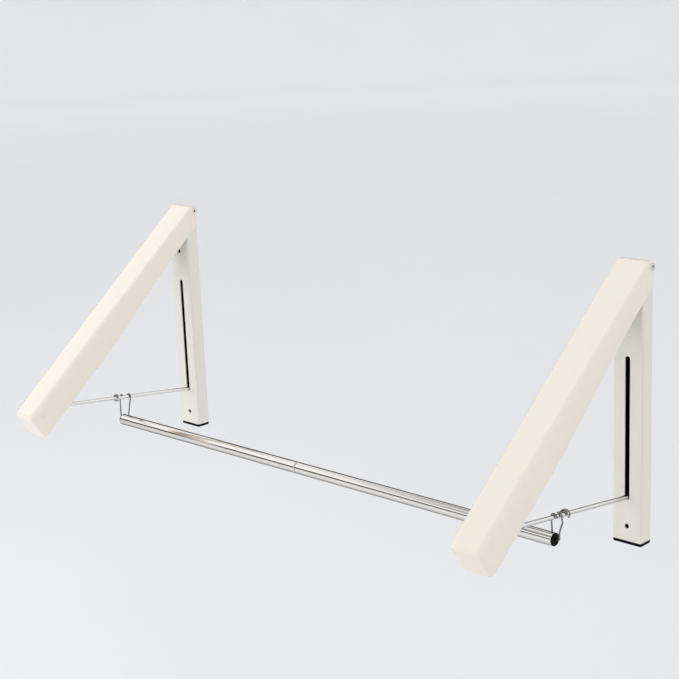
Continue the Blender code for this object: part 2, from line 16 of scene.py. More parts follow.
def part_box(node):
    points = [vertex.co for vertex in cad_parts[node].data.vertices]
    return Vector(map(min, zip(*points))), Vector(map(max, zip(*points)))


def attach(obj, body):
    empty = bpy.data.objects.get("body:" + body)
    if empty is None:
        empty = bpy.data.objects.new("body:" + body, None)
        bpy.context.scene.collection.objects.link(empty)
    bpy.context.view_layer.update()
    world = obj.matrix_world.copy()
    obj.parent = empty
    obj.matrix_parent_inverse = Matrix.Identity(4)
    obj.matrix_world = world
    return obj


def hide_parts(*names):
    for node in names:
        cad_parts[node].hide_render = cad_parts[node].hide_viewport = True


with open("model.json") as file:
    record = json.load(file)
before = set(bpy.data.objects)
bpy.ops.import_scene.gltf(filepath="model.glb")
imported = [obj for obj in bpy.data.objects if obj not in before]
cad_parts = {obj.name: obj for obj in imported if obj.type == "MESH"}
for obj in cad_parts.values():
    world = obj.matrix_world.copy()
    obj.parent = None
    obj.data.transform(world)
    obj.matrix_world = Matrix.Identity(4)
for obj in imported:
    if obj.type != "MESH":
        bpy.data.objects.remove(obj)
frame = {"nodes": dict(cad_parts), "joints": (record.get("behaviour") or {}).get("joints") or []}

SIDES = {"left": -1.0, "right": 1.0}

# Wall bracket, as in the CAD
SHEET = 0.0012
LIP_WIDTH = 0.005
BEND_RADIUS = 0.0016
SLOT_WIDTH = 0.0054
SLOT_BOTTOM = 0.0450
SLOT_TOP = 0.1867
SCREW_HEIGHTS = (0.0182, 0.2222)
SCREW_HOLE_DIAMETER = 0.0048
CAP_HEIGHT = 0.0028
# Painted shade: thickness of the black sheet that darkens the slot from behind
SHADE_SHEET = 0.0006
GAP = 0.0004
PIN_GAP = 0.0001
FIT_GAP = 3 * PIN_GAP

# How finely the meshes are made
EDGE = 0.00022
EDGE_SEGMENTS = 2
EDGE_ANGLE = math.radians(40)
SMOOTH_ANGLE = math.radians(32)
ROUND = 48
FINE_ROUND = 96
CORNER_STEPS = 9
RIM_STEPS = 4
SLOT_STEPS = 20
HEAD_STEPS = 10
TIP_STEPS = 5
SMALLEST_TIP = 0.02
EYE_STEPS = 48
HOOK_STEPS = 24
STAY_SIDES = 28
LOOP_SIDES = 18
RING_SIDES = 16

# Arm, as in the CAD: (u, v) runs down its front face and in from it
ARM_ANGLE = math.radians(50.8)
ARM_TOP_FRONT = (-0.0090, 0.2775)
ARM_LENGTH = 0.3270
ARM_DEPTH_TOP = 0.0238
ARM_DEPTH = 0.0325
ARM_DEPTH_GROWS = (0.050, 0.220)
ARM_TOP_BACK = (-0.0059, 0.0064)
ARM_HEEL = (0.0092, 0.0249)
ARM_END_LEAN = math.radians(5.0)
ARM_TOP_RADIUS = 0.0030
ARM_END_RADIUS = 0.0070
ARM_FILLET_TOP = 0.0016
ARM_FILLET_END = 0.0055
ARM_RIM_TOP = 0.0026
ARM_RIM_END = 0.0003
ARM_ROWS = 72
ARM_TOP_STEPS = 8
ARM_END_STEPS = 14
ARM_FACE_STEPS = 16
ARM_FILLET_STEPS = 8
ARM_LEAST_FILLET = 0.0002
ARM_EDGE_STEPS = 5

# Pins, rivet, stay and pole
HINGE_PIN_DIAMETER = 0.0050
STAY_PIN_DIAMETER = 0.0042
RIVET = (-0.0036, 0.2715)
RIVET_SHANK_DIAMETER = 0.0040
RIVET_HEAD_DIAMETER = 0.0066
RIVET_BORE_DIAMETER = 0.0022
RIVET_HEAD_HEIGHT = 0.0007
STAY_DIAMETER = 0.0040
STAY_EYE_RADIUS = 0.0044
STAY_EYE_TURN = math.radians(296)
STAY_TIP_PAST_HEAD = 0.0012
POLE_DIAMETER = 0.0127
POLE_WALL = 0.0010
POLE_RIM = 0.45 * POLE_WALL
JOINT_GAP = 0.0003
POLE_HOLE_INSET = {"left": 0.0101, "right": 0.0027}
POLE_HOLE_DIAMETER = 0.0028
PLUG_FLANGE = 0.0006
PLUG_LENGTH = 0.0060
PLUG_RIM = PLUG_FLANGE / 3
PLUG_BORE = 0.0036

# Bent wire
LOOP_WIRE = 0.0016
LOOP_HOOK_SHIFT = {"left": (0.0048, -0.0056), "right": (-0.0037, 0.0037)}
LOOP_HOOK_END = math.radians(172)
OUTER_HOOK_END = math.radians(120)
LOOP_KNEE = {"left": 0.0005, "right": 0.0018}
LOOP_KNEE_DROP = 0.0055
LOOP_KNEE_RADIUS = 0.0030
LOOP_REACH = 0.0048
LOOP_LEG_RADIUS = 0.0040
LOOP_FOOT_RADIUS = 0.0018
RING_RADIUS = {"left": 0.0038, "right": 0.0045}
RING_TURN = math.radians(38)
RING_WIRE = 0.0014
RING_ARC = {"left": (math.radians(55), math.radians(300)),
            "right": (math.radians(178), math.radians(-48))}

# Camera
CAMERA_PLACE = (1.0788, -1.1608, 0.5436)
CAMERA_AZIMUTH = math.radians(44.72)
CAMERA_DOWN = math.radians(13.77)
CAMERA_ROLL = math.radians(-2.374)
CAMERA_LENS = 79.0
CAMERA_SENSOR = 36.0
CAMERA_NEAR = 0.01

# Floor, round and with a cove at its rim
FLOOR_HEIGHT = -0.47
COVE_START = 12.0
COVE_RADIUS = 1.1
COVE_STEPS = 24
FLOOR_LIGHT = (0.88, 0.885, 0.89)
FLOOR_DARK = (0.87, 0.875, 0.88)

# Room: (height, grey level) from straight down, 0, to straight up, 1. By the X of a direction
# it is banded up to DIM_EDGE, dim from there to BAND_EDGE, and open past it.
ROOM_STRENGTH = 0.785
ROOM_BLUE = 1.01
ROOM_BANDED = ((0.0, 0.12), (0.64, 0.12), (0.68, 1.8), (0.85, 1.4), (1.0, 1.1))
ROOM_DIM = ((0.0, 0.12), (0.62, 0.12), (0.655, 2.0), (0.70, 1.5), (0.76, 0.4), (0.85, 0.4),
            (0.90, 1.45), (1.0, 1.2))
ROOM_OPEN = ((0.0, 0.95), (0.54, 1.0), (0.62, 1.5), (0.72, 1.3), (0.85, 1.1), (1.0, 1.05))
DIM_EDGE = (-0.71, -0.62)
BAND_EDGE = (-0.45, -0.1)
BAND_RISE = 0.17

# Lamps: place, size, power, colour, and whether the steel mirrors it
LAMP_TARGET = (-0.1, -0.1, 0.1)
LAMPS = {
    "key": ((-1.5, -1.7, 0.9), (1.5, 1.5), 14.2, (0.96, 0.98, 1.0), False),
    "bounce": ((-1.2, -1.7, -0.2), (1.2, 1.0), 1.8, (1.0, 1.0, 1.0), False),
    "fill": ((2.0, -0.4, 1.1), (1.4, 1.4), 0.5, (1.0, 0.78, 0.50), True),
}


# Materials

NOISE_MIDDLE = (0.3, 0.7)
BLEND_MIDDLE = (0.35, 0.65)
LINE_SCALE = 4.0
ACROSS_SCALE = 700.0


class Shader:
    """A node material built round one Principled shader."""

    def __init__(self, name, roughness, metallic=0.0):
        self.material = bpy.data.materials.new(name)
        self.material.use_nodes = True
        self.nodes = self.material.node_tree.nodes
        self.links = self.material.node_tree.links
        self.shader = self.nodes["Principled BSDF"]
        self.shader.inputs["Metallic"].default_value = metallic
        self.shader.inputs["Roughness"].default_value = roughness
        self.place = self.nodes.new("ShaderNodeTexCoord").outputs["Object"]

    def set(self, **values):
        for name, value in values.items():
            self.shader.inputs[name.replace("_", " ")].default_value = value

    def stretch(self, scale):
        """Object coordinates scaled along each axis."""
        mapping = self.nodes.new("ShaderNodeMapping")
        mapping.inputs["Scale"].default_value = scale
        self.links.new(self.place, mapping.inputs["Vector"])
        return mapping.outputs["Vector"]

    def noise(self, scale, detail=2.0, vector=None):
        node = self.nodes.new("ShaderNodeTexNoise")
        node.inputs["Scale"].default_value = scale
        node.inputs["Detail"].default_value = detail
        self.links.new(vector or self.place, node.inputs["Vector"])
        return node.outputs["Fac"]

    def spread(self, value, low, high):
        """Map the middle of a noise to the range from low to high."""
        node = self.nodes.new("ShaderNodeMapRange")
        node.inputs["From Min"].default_value = NOISE_MIDDLE[0]
        node.inputs["From Max"].default_value = NOISE_MIDDLE[1]
        node.inputs["To Min"].default_value = low
        node.inputs["To Max"].default_value = high
        self.links.new(value, node.inputs["Value"])
        return node.outputs["Result"]

    def color(self, value, first, second):
        """Blend two colours by a noise."""
        ramp = self.nodes.new("ShaderNodeValToRGB")
        stops = zip(ramp.color_ramp.elements, BLEND_MIDDLE, (first, second))
        for element, position, color in stops:
            element.position = position
            element.color = (*color, 1.0)
        self.links.new(value, ramp.inputs["Fac"])
        self.links.new(ramp.outputs["Color"], self.shader.inputs["Base Color"])

    def roughness(self, value, low, high):
        self.links.new(self.spread(value, low, high), self.shader.inputs["Roughness"])

    def bump(self, value, distance, strength, under=None):
        node = self.nodes.new("ShaderNodeBump")
        node.inputs["Strength"].default_value = strength
        node.inputs["Distance"].default_value = distance
        self.links.new(value, node.inputs["Height"])
        if under is not None:
            self.links.new(under, node.inputs["Normal"])
        self.links.new(node.outputs["Normal"], self.shader.inputs["Normal"])
        return node.outputs["Normal"]


def powder_coat(name, light, dark, roughness, gloss):
    """Baked paint: a faint cloud of shade, a fine orange peel and a thin clear gloss."""
    coat = Shader(name, roughness)
    coat.color(coat.noise(14.0, 3.0), light, dark)
    coat.roughness(coat.noise(90.0, 3.0), roughness * 0.98, roughness * 1.02)
    peel = coat.bump(coat.noise(420.0, 2.0), 0.00002, 0.15)
    coat.bump(coat.noise(1500.0, 1.0), 0.00001, 0.12, under=peel)
    coat.set(Coat_Weight=gloss, Coat_Roughness=0.12, IOR=1.5)
    return coat.material


def moulded_black():
    plastic = Shader("black_plastic", 0.5)
    plastic.color(plastic.noise(60.0), (0.0016, 0.0016, 0.0018), (0.0025, 0.0025, 0.0027))
    plastic.roughness(plastic.noise(300.0), 0.42, 0.6)
    plastic.bump(plastic.noise(1400.0), 0.00003, 0.5)
    plastic.set(IOR=1.46, Specular_IOR_Level=0.08)
    return plastic.material


def polished_steel(name, long_axis, light, dark, low, high):
    """Bright drawn steel, with fine lines along its length."""
    steel = Shader(name, low, 1.0)
    scale = tuple(LINE_SCALE if axis == long_axis else ACROSS_SCALE for axis in range(3))
    lines = steel.noise(1.0, 3.0, steel.stretch(scale))
    steel.color(steel.noise(25.0, 3.0), light, dark)
    steel.roughness(lines, low, high)
    steel.bump(lines, 0.00001, 0.25)
    steel.set(Specular_Tint=(0.12, 0.12, 0.12, 1.0))
    return steel.material


def nylon():
    plastic = Shader("white_nylon", 0.45)
    plastic.color(plastic.noise(80.0), (0.78, 0.78, 0.75), (0.70, 0.70, 0.67))
    plastic.roughness(plastic.noise(200.0), 0.4, 0.55)
    plastic.bump(plastic.noise(900.0), 0.00003, 0.4)
    plastic.set(IOR=1.52)
    return plastic.material


def make_materials():
    return {
        "arm_paint": powder_coat("arm_paint", (0.88, 0.818, 0.724), (0.873, 0.811, 0.716),
                                 0.26, 0.5),
        "bracket_paint": powder_coat("bracket_paint", (0.775, 0.762, 0.688),
                                     (0.768, 0.755, 0.681), 0.38, 0.25),
        "black_plastic": moulded_black(),
        "polished_steel": polished_steel("polished_steel", 0, (0.78, 0.765, 0.74),
                                         (0.75, 0.735, 0.71), 0.08, 0.13),
        "stay_steel": polished_steel("stay_steel", 1, (0.88, 0.87, 0.85),
                                     (0.82, 0.81, 0.79), 0.10, 0.16),
        "wire_steel": polished_steel("wire_steel", 2, (0.30, 0.29, 0.28),
                                     (0.24, 0.235, 0.23), 0.18, 0.3),
        "white_nylon": nylon(),
    }


# Mesh helpers

def finish_piece(name, bm, finish, body, node):
    """Link the bmesh as a piece that rides on a body and stands for its CAD node."""
    bmesh.ops.remove_doubles(bm, verts=bm.verts, dist=1e-7)
    bmesh.ops.recalc_face_normals(bm, faces=bm.faces)
    mesh = bpy.data.meshes.new(name)
    bm.to_mesh(mesh)
    bm.free()
    mesh.materials.append(finish)
    mesh.shade_smooth()
    mesh.set_sharp_from_angle(angle=SMOOTH_ANGLE)
    piece = bpy.data.objects.new(name, mesh)
    bpy.context.scene.collection.objects.link(piece)
    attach(piece, body)
    if node:
        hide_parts(node)
    return piece


def apply_modifiers(piece):
    bpy.context.view_layer.update()
    shaped = piece.evaluated_get(bpy.context.evaluated_depsgraph_get())
    mesh = bpy.data.meshes.new_from_object(shaped)
    piece.modifiers.clear()
    piece.data = mesh


def cut(piece, bm):
    """Subtract the bmesh from the piece and keep the result."""
    bmesh.ops.recalc_face_normals(bm, faces=bm.faces)
    mesh = bpy.data.meshes.new("cutter")
    bm.to_mesh(mesh)
    bm.free()
    cutter = bpy.data.objects.new("cutter", mesh)
    bpy.context.scene.collection.objects.link(cutter)
    modifier = piece.modifiers.new("cut", "BOOLEAN")
    modifier.operation = "DIFFERENCE"
    modifier.solver = "EXACT"
    modifier.object = cutter
    apply_modifiers(piece)
    bpy.data.objects.remove(cutter, do_unlink=True)


def cut_smooth(piece, bm):
    """Subtract the bmesh, then mark the sharp edges again."""
    cut(piece, bm)
    piece.data.set_sharp_from_angle(angle=SMOOTH_ANGLE)


def soften_edges(piece):
    """Round the sharp edges, as paint or a tumbled edge does."""
    modifier = piece.modifiers.new("edge", "BEVEL")
    modifier.width = EDGE
    modifier.segments = EDGE_SEGMENTS
    modifier.limit_method = "ANGLE"
    modifier.angle_limit = EDGE_ANGLE
    modifier.harden_normals = True
    apply_modifiers(piece)


def place_along(centre, direction):
    """The matrix that puts the origin at the centre and turns +Z to the direction."""
    turn = Vector(direction).to_track_quat("Z", "Y").to_matrix().to_4x4()
    return Matrix.Translation(Vector(centre)) @ turn


def full_turn(count):
    return [math.tau * k / count for k in range(count)]


def add_cylinder(bm, centre, direction, diameter, length):
    bmesh.ops.create_cone(bm, cap_ends=True, segments=ROUND, radius1=diameter / 2,
                          radius2=diameter / 2, depth=length,
                          matrix=place_along(centre, direction))


def skin_loops(bm, loops, closed=False):
    """Faces between each loop of vertices and the next."""
    pairs = list(zip(loops, loops[1:]))
    if closed:
        pairs.append((loops[-1], loops[0]))
    count = len(loops[0])
    for first, second in pairs:
        for i in range(count):
            j = (i + 1) % count
            bm.faces.new((first[i], first[j], second[j], second[i]))


def add_rings(bm, rings, closed=False):
    """Skin a list of equally long closed rings of points, and cap an open list."""
    loops = [[bm.verts.new(point) for point in ring] for ring in rings]
    skin_loops(bm, loops, closed)
    if not closed:
        bm.faces.new(loops[0])
        bm.faces.new(loops[-1])


def add_lathe(bm, profile, centre, direction, segments=FINE_ROUND):
    """Turn a closed profile of (distance along, radius) about the axis."""
    place = place_along(centre, direction)
    rings = []
    for angle in full_turn(segments):
        spoke = Vector((math.cos(angle), math.sin(angle), 0.0))
        rings.append([place @ (spoke * radius + Vector((0, 0, along)))
                      for along, radius in profile])
    add_rings(bm, rings, closed=True)


def round_tip(tip, inner, radius):
    """Points and sizes that carry a sweep on past its tip to a hemispherical end."""
    heading = (tip - inner).normalized()
    angles = [math.pi / 2 * k / TIP_STEPS for k in range(1, TIP_STEPS + 1)]
    points = [tip + heading * math.sin(angle) * radius for angle in angles]
    return points, [max(math.cos(angle), SMALLEST_TIP) for angle in angles]


def add_sweep(bm, points, diameter, sides):
    """Sweep a round section along an open path with hemispherical ends."""
    points = [Vector(point) for point in points]
    first_points, first_sizes = round_tip(points[0], points[1], diameter / 2)
    last_points, last_sizes = round_tip(points[-1], points[-2], diameter / 2)
    sizes = first_sizes[::-1] + [1.0] * len(points) + last_sizes
    points = first_points[::-1] + points + last_points
    count = len(points)
    tangents = []
    for i in range(count):
        before = points[max(i - 1, 0)]
        after = points[min(i + 1, count - 1)]
        tangents.append((after - before).normalized())
    normal = tangents[0].orthogonal().normalized()
    rings = []
    for i in range(count):
        if i:
            normal = tangents[i - 1].rotation_difference(tangents[i]) @ normal
        side = tangents[i].cross(normal).normalized()
        ring = []
        for angle in full_turn(sides):
            offset = normal * math.cos(angle) + side * math.sin(angle)
            ring.append(points[i] + offset * diameter / 2 * sizes[i])
        rings.append(ring)
    add_rings(bm, rings)


def arc(centre, radius, start, end, steps):
    return [(centre[0] + radius * math.cos(start + (end - start) * i / steps),
             centre[1] + radius * math.sin(start + (end - start) * i / steps))
            for i in range(steps + 1)]


def corner_arc(before, here, after, radius):
    """The centre of the arc that rounds a corner, and the spokes to its two ends."""
    to_last = (before - here).normalized()
    to_next = (after - here).normalized()
    half = to_last.angle(to_next) / 2
    centre = here + (to_last + to_next).normalized() * radius / math.sin(half)
    start = here + to_last * radius / math.tan(half) - centre
    end = here + to_next * radius / math.tan(half) - centre
    return centre, start, end


def rounded_polygon(corners):
    """Round each corner (x, y, radius) of a closed flat polygon with an arc."""
    places = [Vector((x, y)) for x, y, radius in corners]
    points = []
    for i, here in enumerate(places):
        radius = corners[i][2]
        if radius <= 0.0:
            points.append(here)
            continue
        after = places[(i + 1) % len(places)]
        centre, start, end = corner_arc(places[i - 1], here, after, radius)
        turn = start.angle_signed(end)
        for k in range(CORNER_STEPS + 1):
            points.append(centre + Matrix.Rotation(-turn * k / CORNER_STEPS, 2) @ start)
    return points


def rounded_path(corners):
    """Round each inner corner (point, radius) of an open path in space with an arc."""
    points = [corners[0][0]]
    for (before, _), (here, radius), (after, _) in zip(corners, corners[1:], corners[2:]):
        centre, start, end = corner_arc(before, here, after, radius)
        for k in range(CORNER_STEPS + 1):
            spoke = start.normalized().slerp(end.normalized(), k / CORNER_STEPS)
            points.append(centre + spoke * radius)
    points.append(corners[-1][0])
    return points


def rounded_end(along, radius, rim, towards):
    """Profile points that round the corner at (along, radius) of a turned part."""
    centre = (along - towards * rim, radius - rim)
    points = arc(centre, rim, math.pi / 2, 0.0, RIM_STEPS)
    return [(centre[0] + towards * (x - centre[0]), y) for x, y in points]


def stadium(x, width, bottom, top):
    """The outline of a slot with half round ends."""
    radius = width / 2
    upper = arc((x, top - radius), radius, 0.0, math.pi, SLOT_STEPS)
    lower = arc((x, bottom + radius), radius, math.pi, math.tau, SLOT_STEPS)
    return upper + lower


def add_plate(bm, outline, front, back):
    """A plate that faces the room, with the outline (x, z)."""
    add_rings(bm, [[(x, y, z) for x, z in outline] for y in (front, back)])


# Places read from the frame

def joint_point(name):
    for joint in frame["joints"]:
        if joint["name"] == name:
            return Vector(joint["pos_m"])
    raise ValueError(name)


def middle_of(node):
    low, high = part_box(node)
    return (low + high) / 2


def size_of(node):
    low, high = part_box(node)
    return high - low


# Wall unit

def make_bracket(side, finish):
    node = side + "_wall_bracket"
    low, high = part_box(node)
    x = middle_of(node).x
    half = size_of(node).x / 2
    inner = half - SHEET
    front = low.y
    lip = half - LIP_WIDTH
    fold = BEND_RADIUS - SHEET
    corners = [(x + lip, 0.0, 0.0), (x + half, 0.0, BEND_RADIUS / 2),
               (x + half, front, BEND_RADIUS), (x - half, front, BEND_RADIUS),
               (x - half, 0.0, BEND_RADIUS / 2), (x - lip, 0.0, 0.0),
               (x - lip, -SHEET, 0.0), (x - inner, -SHEET, 0.0),
               (x - inner, front + SHEET, fold), (x + inner, front + SHEET, fold),
               (x + inner, -SHEET, 0.0), (x + lip, -SHEET, 0.0)]
    outline = rounded_polygon(corners)
    bm = bmesh.new()
    add_rings(bm, [[(*point, z) for point in outline] for z in (low.z, high.z)])
    piece = finish_piece(side + "_bracket_channel", bm, finish, "wall_brackets", node)
    cutter = bmesh.new()
    before = front - SHEET
    behind = front + 2 * SHEET
    add_plate(cutter, stadium(x, SLOT_WIDTH, SLOT_BOTTOM, SLOT_TOP), before, behind)
    for height in SCREW_HEIGHTS:
        add_cylinder(cutter, (x, (before + behind) / 2, height), (0, 1, 0),
                     SCREW_HOLE_DIAMETER, behind - before)
    hinge = joint_point(side + "_arm_fold")
    add_cylinder(cutter, hinge, (1, 0, 0), HINGE_PIN_DIAMETER + 2 * PIN_GAP,
                 2 * half + 2 * SHEET)
    cut(piece, cutter)
    soften_edges(piece)


def make_slot_shade_sheet(side, finish):
    """Painted shade: a black plastic sheet just behind the guide that closes the slot from
    behind.
    """
    low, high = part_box(side + "_slide_guide")
    x = middle_of(side + "_slide_guide").x
    outline = stadium(x, (high.x - low.x) / 2, SLOT_BOTTOM - SHADE_SHEET, SLOT_TOP + LIP_WIDTH)
    front = high.y + SHADE_SHEET / 2
    bm = bmesh.new()
    add_plate(bm, outline, front, front + SHADE_SHEET)
    finish_piece(side + "_slot_shade_sheet", bm, finish, "wall_brackets", None)


def make_bottom_cap(side, finish):
    node = side + "_bottom_cap"
    low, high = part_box(node)
    guide_low, guide_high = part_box(side + "_slide_guide")
    edge = 2 * EDGE

    def outline(x0, x1, y0, y1, corner):
        return rounded_polygon([(x1, y1, corner), (x1, y0, corner), (x0, y0, corner),
                                (x0, y1, corner)])

    def foot(inset):
        return outline(low.x + inset, high.x - inset, low.y + inset, high.y - inset,
                       BEND_RADIUS)

    spigot = outline(guide_low.x, guide_high.x, guide_low.y, guide_high.y,
                     BEND_RADIUS - SHEET + GAP)
    rows = [(foot(edge), 0.0), (foot(edge / 3), edge / 3), (foot(0.0), edge),
            (foot(0.0), CAP_HEIGHT), (spigot, CAP_HEIGHT), (spigot, high.z)]
    bm = bmesh.new()
    add_rings(bm, [[(*point, z) for point in row] for row, z in rows])
    finish_piece(side + "_foot_cap", bm, finish, "wall_brackets", node)


def make_pin(side, name, node, body, diameter, finish):
    """A pin with slightly domed, painted ends, flush with the arm's sides."""
    centre = middle_of(node)
    half = size_of(node).x / 2
    radius = diameter / 2
    ends = rounded_end(half, radius, EDGE, 1.0)
    profile = [(-along, r) for along, r in reversed(ends)] + ends
    bm = bmesh.new()
    add_rings(bm, [[centre + Vector((along, r * math.cos(t), r * math.sin(t)))
                    for t in full_turn(ROUND)] for along, r in profile])
    finish_piece(side + name, bm, finish, body, node)


# Arm cover

def arm_depth(u):
    start, end = ARM_DEPTH_GROWS
    t = min(max((u - start) / (end - start), 0.0), 1.0)
    return ARM_DEPTH_TOP + (ARM_DEPTH - ARM_DEPTH_TOP) * t * t * (3 - 2 * t)


def arm_place(point):
    """Turn (u, v) on the arm into (y, z)."""
    sine = math.sin(ARM_ANGLE)
    cosine = math.cos(ARM_ANGLE)
    u, v = point
    return (ARM_TOP_FRONT[0] - u * sine + v * cosine,
            ARM_TOP_FRONT[1] - u * cosine - v * sine)


def corner_stations(corner, radius, normal_in, normal_out, steps):
    """Stations (point, inward normal) along an arc that rounds a corner."""
    start = math.atan2(normal_in[1], normal_in[0])
    turn = (math.atan2(normal_out[1], normal_out[0]) - start + math.pi) % math.tau - math.pi
    bisector = Vector((math.cos(start + turn / 2), math.sin(start + turn / 2)))
    centre = Vector(corner) + bisector * radius / math.cos(turn / 2)
    stations = []
    for i in range(steps + 1):
        angle = start + turn * i / steps
        normal = Vector((math.cos(angle), math.sin(angle)))
        stations.append((centre - normal * radius, normal))
    return stations


def arm_stations():
    """Follow the arm's outside from top to end: (front point, normal, rim point, fillet)."""
    top_back = Vector(ARM_TOP_BACK)
    heel = Vector(ARM_HEEL)
    top_normal = Vector((top_back.y, -top_back.x)).normalized()
    front_normal = Vector((0.0, 1.0))
    end_along = Vector((math.sin(ARM_END_LEAN), math.cos(ARM_END_LEAN)))
    end_normal = Vector((-end_along.y, end_along.x))
    end_corner = Vector((ARM_LENGTH, 0.0))

    stations = []
    rim_start = top_back + (heel - top_back).normalized() * ARM_RIM_TOP
    stations.append((top_back, top_normal, rim_start, ARM_FILLET_TOP))
    top_arc = corner_stations((0.0, 0.0), ARM_TOP_RADIUS, top_normal, front_normal,
                              ARM_TOP_STEPS)
    for i, (point, normal) in enumerate(top_arc):
        rim = rim_start.lerp(heel, (i + 1) / len(top_arc))
        stations.append((point, normal, rim, ARM_FILLET_TOP))

    top_u = top_arc[-1][0].x
    end_arc = corner_stations(end_corner, ARM_END_RADIUS, front_normal, end_normal,
                              ARM_END_STEPS)
    last_u = end_arc[0][0].x
    for i in range(1, ARM_ROWS):
        share = i / ARM_ROWS
        u = top_u + (last_u - top_u) * share
        rim_u = u + (heel.x - top_u) * (1 - share) ** 2
        rim = Vector((rim_u, arm_depth(rim_u)))
        fillet = ARM_FILLET_TOP + (ARM_FILLET_END - ARM_FILLET_TOP) * share
        stations.append((Vector((u, 0.0)), front_normal, rim, fillet))

    end_start = end_arc[-1][0]
    end_length = (ARM_DEPTH - end_start.y) / end_along.y - ARM_RIM_END
    end_path = end_arc + [(end_start + end_along * end_length * i / ARM_FACE_STEPS, end_normal)
                          for i in range(1, ARM_FACE_STEPS + 1)]
    rim_first = Vector((last_u, ARM_DEPTH))
    rim_last = end_path[-1][0] + end_normal * ARM_FILLET_END + end_along * ARM_RIM_END
    for i, (point, normal) in enumerate(end_path):
        rim = rim_first.lerp(rim_last, i / (len(end_path) - 1))
        stations.append((point, normal, rim, ARM_FILLET_END))
    return stations


def arm_row(x, half_width, station, inset, pull):
    """One U-shaped row of the cover, set in from its outside and pulled back at its rims."""
    front, normal, rim, fillet = station
    half = half_width - inset
    base = front + normal * inset
    radius = max(fillet - inset, ARM_LEAST_FILLET)
    row = []
    for i in range(ARM_FILLET_STEPS + 1):
        angle = math.pi / 2 * i / ARM_FILLET_STEPS
        across = half - radius + radius * math.cos(angle)
        deep = radius * (1 - math.sin(angle))
        row.append((across, base + normal * deep))
    back = (rim - row[0][1]).normalized()
    row = [(half, rim - back * pull)] + row
    row += [(-across, point) for across, point in reversed(row)]
    return [Vector((x + across, *arm_place(point))) for across, point in row]


def rim_points(first, second, neighbour):
    """Points of the half round rim that joins the sheet's two skins."""
    centre = (first + second) / 2
    spoke = first - centre
    heading = (centre - (neighbour + (second - first) / 2)).normalized()
    angles = [math.pi * k / ARM_EDGE_STEPS for k in range(1, ARM_EDGE_STEPS)]
    return [centre + spoke * math.cos(angle) + heading * math.sin(angle) * SHEET / 2
            for angle in angles]


def add_closed_sheet(bm, rings, skin):
    """Skin rings that run round a sheet, and close both ends between its two skins."""
    loops = [[bm.verts.new(point) for point in ring] for ring in rings]
    skin_loops(bm, loops)
    inner_start = skin + ARM_EDGE_STEPS - 1
    inner_end = inner_start + skin
    for loop in (loops[0], loops[-1]):
        outer = loop[:skin]
        inner = loop[inner_start:inner_end][::-1]
        for i in range(skin - 1):
            bm.faces.new((outer[i], outer[i + 1], inner[i + 1], inner[i]))
        bm.faces.new([outer[-1]] + loop[skin:inner_start] + [inner[-1]])
        bm.faces.new([inner[0]] + loop[inner_end:] + [outer[0]])


def make_arm_cover(side, finish):
    node = side + "_arm_cover"
    x = middle_of(node).x
    half_width = size_of(node).x / 2
    rings = []
    for station in arm_stations():
        outer = arm_row(x, half_width, station, 0.0, SHEET / 2)
        inner = arm_row(x, half_width, station, SHEET, SHEET / 2)
        rings.append(outer + rim_points(outer[-1], inner[-1], outer[-2]) + inner[::-1]
                     + rim_points(inner[0], outer[0], inner[1]))
    bm = bmesh.new()
    add_closed_sheet(bm, rings, len(outer))
    piece = finish_piece(side + "_arm_shell", bm, finish, side + "_arm", node)

    holes = ((joint_point(side + "_arm_fold"), HINGE_PIN_DIAMETER),
             (joint_point(side + "_stay_swing"), STAY_PIN_DIAMETER),
             ((x, *RIVET), RIVET_SHANK_DIAMETER))
    cutter = bmesh.new()
    for centre, diameter in holes:
        add_cylinder(cutter, centre, (1, 0, 0), diameter + 2 * PIN_GAP,
                     2 * half_width + 2 * SHEET)
    cut_smooth(piece, cutter)


def make_top_rivet(side, finish):
    node = side + "_top_rivet"
    x = middle_of(node).x
    end = size_of(node).x / 2
    seat = end - RIVET_HEAD_HEIGHT
    bore = RIVET_BORE_DIAMETER / 2
    shank = RIVET_SHANK_DIAMETER / 2
    head = RIVET_HEAD_DIAMETER / 2
    crown = (head - bore) / 2
    half = [(seat, shank)]
    for k in range(HEAD_STEPS + 1):
        angle = math.pi * k / HEAD_STEPS
        half.append((seat + RIVET_HEAD_HEIGHT * math.sin(angle),
                     (head + bore) / 2 + crown * math.cos(angle)))
    profile = half + [(-along, radius) for along, radius in reversed(half)]
    bm = bmesh.new()
    add_lathe(bm, profile, (x, *RIVET), (1, 0, 0), ROUND)
    finish_piece(side + "_rivet_ring", bm, finish, side + "_arm", node)


# Stay

def stay_line(side):
    """The stay's pivot, the point where its rod meets the eye, and the head's centre."""
    pivot = joint_point(side + "_stay_swing")
    head = middle_of(side + "_slide_head")
    gap = head - pivot
    reach = math.atan2(gap.z, gap.y)
    lean = math.asin(STAY_EYE_RADIUS / gap.length)
    angle = reach + lean + math.pi / 2 - 2 * lean
    tangent = pivot + Vector((0, math.cos(angle), math.sin(angle))) * STAY_EYE_RADIUS
    return pivot, tangent, head


def make_stay_rod(side, finish):
    pivot, tangent, head = stay_line(side)
    along = (head - tangent).normalized()
    start = math.atan2(tangent.z - pivot.z, tangent.y - pivot.y)
    eye = arc((pivot.y, pivot.z), STAY_EYE_RADIUS, start, start + STAY_EYE_TURN, EYE_STEPS)
    tip = head + along * (STAY_TIP_PAST_HEAD - STAY_DIAMETER / 2)
    path = [tip] + [head.lerp(tangent, share) for share in (0.01, 0.5, 0.99)]
    path += [Vector((pivot.x, *point)) for point in eye]
    bm = bmesh.new()
    add_sweep(bm, path, STAY_DIAMETER, STAY_SIDES)
    finish_piece(side + "_stay_wire", bm, finish, side + "_stay", side + "_stay_rod")


# Pole

def pole_axis():
    """A point on the pole's axis, and its direction towards the right."""
    ends = [middle_of("left_pole_plug"), middle_of("right_pole_plug")]
    return (ends[0] + ends[1]) / 2, (ends[1] - ends[0]).normalized()


